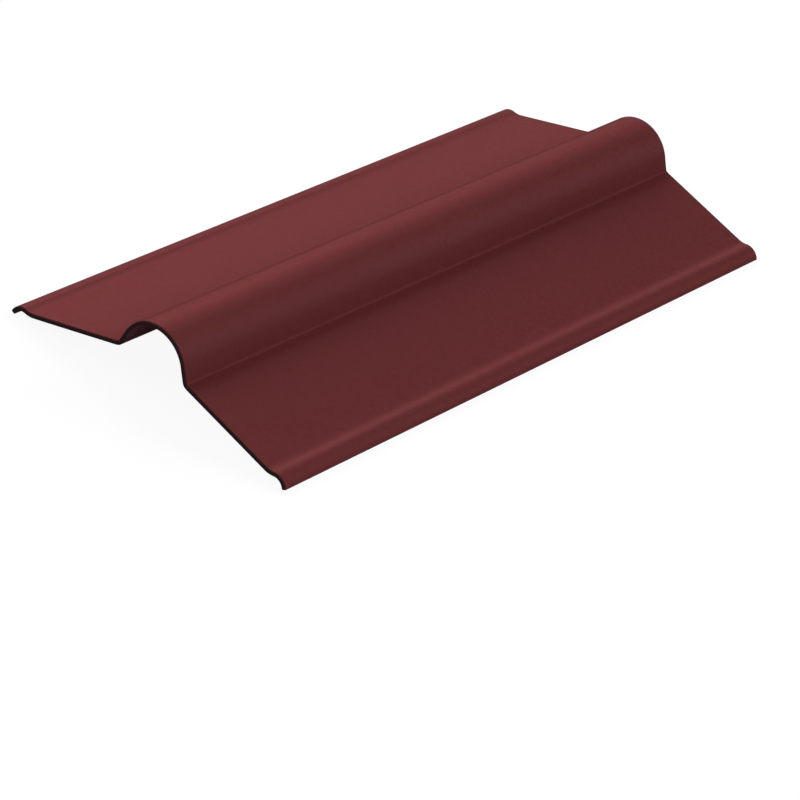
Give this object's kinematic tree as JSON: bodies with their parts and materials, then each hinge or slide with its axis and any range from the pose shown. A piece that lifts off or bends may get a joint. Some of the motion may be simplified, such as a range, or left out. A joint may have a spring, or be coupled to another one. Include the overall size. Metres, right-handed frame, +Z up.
{
  "type": "roof ridge cap",
  "caption": "Long moulded roof ridge cap with a round roll along its middle, straight sloping wings and raised beads turned down at both edges.",
  "frame": {"origin": "middle of the footprint, at the level of the two turned-down lip edges that the cap stands on", "axes": "+X across the ridge towards one wing, +Y along the ridge and the roll, +Z up out of the top of the roll"},
  "size_m": [0.466, 1, 0.1074],
  "materials": {
    "coated_sheet": "satin maroon resin coat on pressed bitumen fibre sheet, black at the cut edges"
  },
  "bodies": {
    "root": {"ridge_cap": "coated_sheet"}
  },
  "joints": []
}
